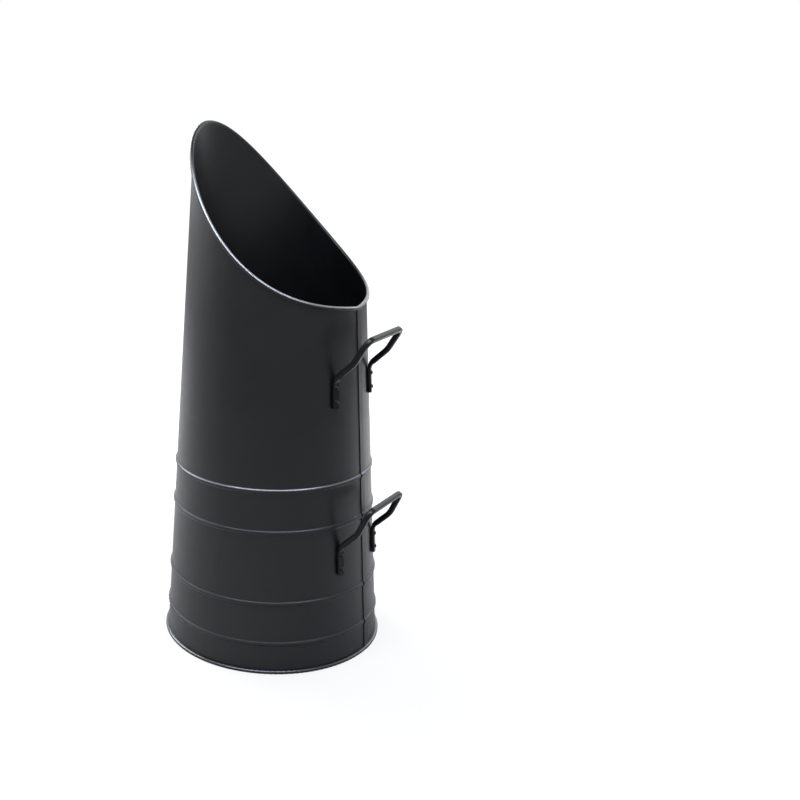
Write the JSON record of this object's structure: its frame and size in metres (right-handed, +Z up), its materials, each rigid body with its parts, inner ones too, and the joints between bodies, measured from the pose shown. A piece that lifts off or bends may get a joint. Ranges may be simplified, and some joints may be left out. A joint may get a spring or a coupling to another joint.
{
  "type": "coal hod",
  "caption": "Tall tapered hod for coal or small logs, with a sloping rolled-rim mouth, raised bands, a folded base and riveted carrying handles down its back.",
  "frame": {"origin": "centre of the round base, on the floor", "axes": "+Z up. The high lip of the mouth is at the front, -Y. The low lip, the lap seam and both handles are at the back, +Y"},
  "size_m": [0.218, 0.2365, 0.5035],
  "materials": {
    "black_painted_steel": "satin black paint on sheet steel, slightly uneven, with worn highlights on folds and rolled edges",
    "black_forged_steel": "satin black paint on forged bar and on rivet heads",
    "bare_steel_wire": "plain drawn wire, closed inside the rolled rim"
  },
  "bodies": {
    "root": {"body_shell": "black_painted_steel", "rim_wire": "bare_steel_wire", "base_plate": "black_painted_steel", "upper_handle": "black_forged_steel", "lower_handle": "black_forged_steel", "upper_left_top_rivet": "black_forged_steel", "upper_left_bottom_rivet": "black_forged_steel", "upper_right_top_rivet": "black_forged_steel", "upper_right_bottom_rivet": "black_forged_steel", "lower_left_top_rivet": "black_forged_steel", "lower_left_bottom_rivet": "black_forged_steel", "lower_right_top_rivet": "black_forged_steel", "lower_right_bottom_rivet": "black_forged_steel"}
  },
  "joints": []
}
